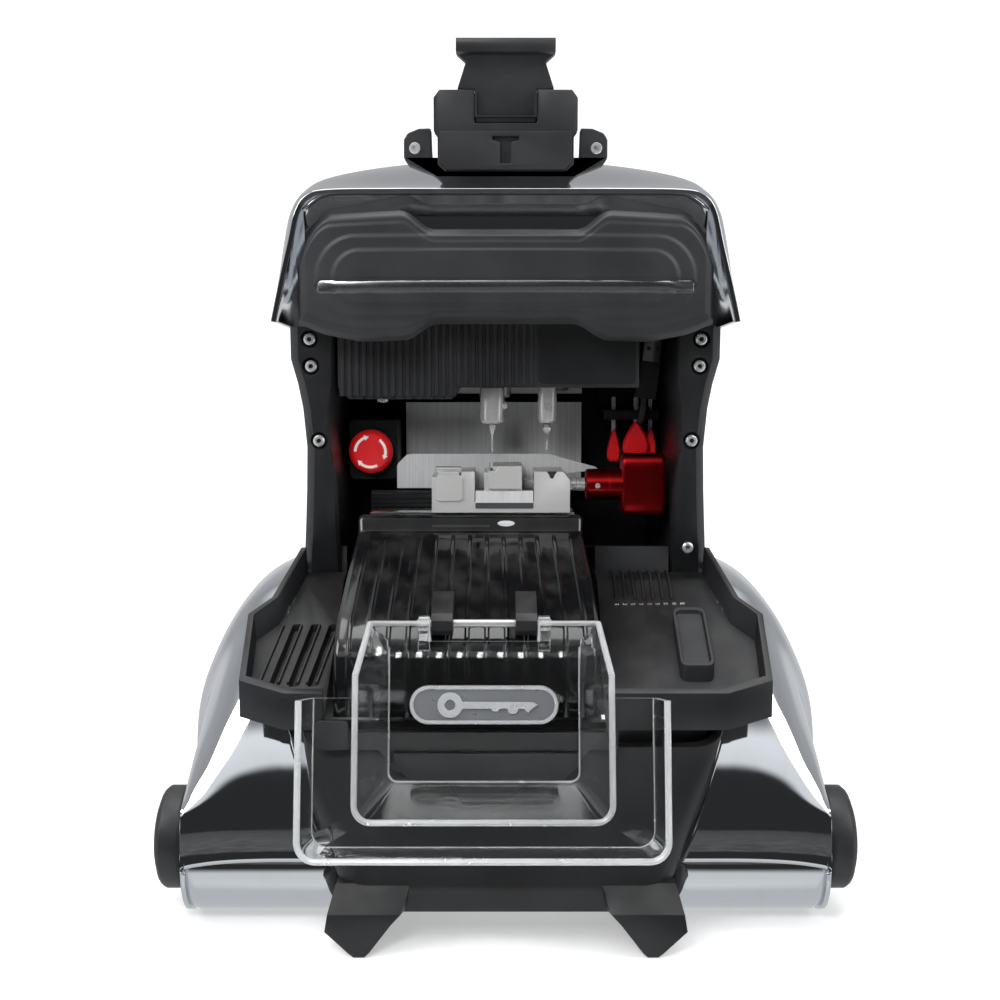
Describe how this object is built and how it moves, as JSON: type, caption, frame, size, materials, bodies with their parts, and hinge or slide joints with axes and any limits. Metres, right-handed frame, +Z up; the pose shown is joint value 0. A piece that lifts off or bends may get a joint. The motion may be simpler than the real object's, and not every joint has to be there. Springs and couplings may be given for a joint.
{
  "type": "key duplicating machine",
  "caption": "Bench-top key milling machine: chromed hood and fenders, milling head over a key clamp on a sliding table, tilting clear visor and a phone holder on top.",
  "frame": {"origin": "on the bench, under the middle of the outer size in X and Y", "axes": "+Z up, the operator stands on the -Y side and looks along +Y, +X is the operator's right"},
  "size_m": [0.376, 0.4256, 0.466],
  "materials": {
    "satin_black": "satin moulded",
    "gloss_black": "polished",
    "chrome": "mirror plated",
    "matte_grey": "matt",
    "brushed_steel": "brushed",
    "blasted_alloy": "bead blasted",
    "red_anodised": "anodised, brushed",
    "red_plastic": "moulded",
    "clear_acrylic": "clear",
    "rubber": "matt",
    "circuit_board": "lacquered",
    "silver_trim": "satin plated"
  },
  "bodies": {
    "frame": {"back_wall": "satin_black", "base_plate": "brushed_steel", "bed_casting": "blasted_alloy", "chip_tray": "satin_black", "column_left": "satin_black", "column_right": "satin_black", "control_board": "circuit_board", "end_cap_left": "matte_grey", "end_cap_right": "matte_grey", "estop_collar": "matte_grey", "fender_left": "chrome", "fender_right": "chrome", "foot_front_left": "rubber", "foot_front_right": "rubber", "foot_rear_left": "rubber", "foot_rear_right": "rubber", "hex_tool_1": "red_plastic", "hex_tool_2": "red_plastic", "holder_base": "satin_black", "hood_front": "satin_black", "hood_shell": "chrome", "lower_body": "satin_black", "rear_housing": "satin_black", "tool_rack": "satin_black", "trim_strip": "silver_trim", "usb_cable": "satin_black", "y_motor": "matte_grey", "y_rail_left": "brushed_steel", "y_rail_right": "brushed_steel", "z_column": "blasted_alloy", "z_motor": "matte_grey", "z_rail_left": "brushed_steel", "z_rail_right": "brushed_steel"},
    "y_table": {"y_saddle": "blasted_alloy", "y_cover": "gloss_black", "hinge_lug_left": "satin_black", "hinge_lug_right": "satin_black", "hinge_pin": "brushed_steel", "x_rail": "brushed_steel", "x_drive_cover": "satin_black", "backsplash": "brushed_steel"},
    "x_carriage": {"clamp_base": "blasted_alloy"},
    "jaw": {"clamp_jaw": "blasted_alloy"},
    "knob": {"clamp_knob": "red_anodised", "clamp_screw": "brushed_steel"},
    "visor": {"visor": "clear_acrylic", "visor_badge": "matte_grey"},
    "head": {"head_cover": "satin_black", "head_plate": "blasted_alloy", "spindle_motor": "matte_grey", "probe_holder": "brushed_steel"},
    "spindle": {"spindle_chuck": "brushed_steel", "cutter": "brushed_steel"},
    "probe": {"probe": "brushed_steel"},
    "estop": {"estop_button": "red_plastic"},
    "power_switch": {"power_rocker": "red_plastic"},
    "y_screw": {"y_leadscrew": "brushed_steel"},
    "z_screw": {"z_leadscrew": "brushed_steel"},
    "holder_tilt": {"holder_plate": "satin_black"},
    "holder_jaw": {"holder_jaw": "satin_black"}
  },
  "joints": [
    {"name": "y_feed", "type": "slide", "parent": "frame", "child": "y_table", "axis": [0, -1, 0], "range_m": [0, 0.04]},
    {"name": "x_feed", "type": "slide", "parent": "y_table", "child": "x_carriage", "axis": [1, 0, 0], "range_m": [-0.024, 0]},
    {"name": "jaw_slide", "type": "slide", "parent": "x_carriage", "child": "jaw", "axis": [1, 0, 0], "range_m": [-0.005, 0.0025]},
    {"name": "knob_turn", "type": "hinge", "parent": "jaw", "child": "knob", "pos_m": [0.07, -0.03216, 0.227], "axis": [1, 0, 0], "range_deg": [-1220, 620]},
    {"name": "visor_tilt", "type": "hinge", "parent": "y_table", "child": "visor", "pos_m": [-0.011, -0.13517, 0.166], "axis": [-1, 0, 0], "range_deg": [0, 145]},
    {"name": "z_feed", "type": "slide", "parent": "frame", "child": "head", "axis": [0, 0, 1], "range_m": [-0.004, 0.022]},
    {"name": "spindle_spin", "type": "hinge", "parent": "head", "child": "spindle", "pos_m": [-0.0075, -0.03017, 0.263], "axis": [0, 0, 1], "continuous": true},
    {"name": "probe_press", "type": "slide", "parent": "head", "child": "probe", "axis": [0, 0, 1], "range_m": [0, 0.002], "stiffness_N_per_m": 400},
    {"name": "estop_press", "type": "slide", "parent": "frame", "child": "estop", "axis": [0, 1, 0], "range_m": [0, 0.003], "stiffness_N_per_m": 1500},
    {"name": "power_rock", "type": "hinge", "parent": "frame", "child": "power_switch", "pos_m": [-0.066, 0.20683, 0.186], "axis": [1, 0, 0], "range_deg": [-8, 8]},
    {"name": "y_screw_turn", "type": "hinge", "parent": "frame", "child": "y_screw", "pos_m": [-0.02, 0.02584, 0.112], "axis": [0, 1, 0], "range_deg": [-20, 2900]},
    {"name": "z_screw_turn", "type": "hinge", "parent": "frame", "child": "z_screw", "pos_m": [0, 0.04283, 0.32], "axis": [0, 0, 1], "range_deg": [-380, 2000]},
    {"name": "holder_tilt_hinge", "type": "hinge", "parent": "frame", "child": "holder_tilt", "pos_m": [0, -0.07816, 0.407], "axis": [-1, 0, 0], "range_deg": [0, 20]},
    {"name": "holder_jaw_slide", "type": "slide", "parent": "holder_tilt", "child": "holder_jaw", "axis": [0, 0, 1], "range_m": [0, 0.015]}
  ],
  "couplings": [
    {"joint": "knob_turn", "follows": "jaw_slide", "rad_per_m": 4188.8},
    {"joint": "y_screw_turn", "follows": "y_feed", "rad_per_m": 1256.6},
    {"joint": "z_screw_turn", "follows": "z_feed", "rad_per_m": 1570.8}
  ]
}
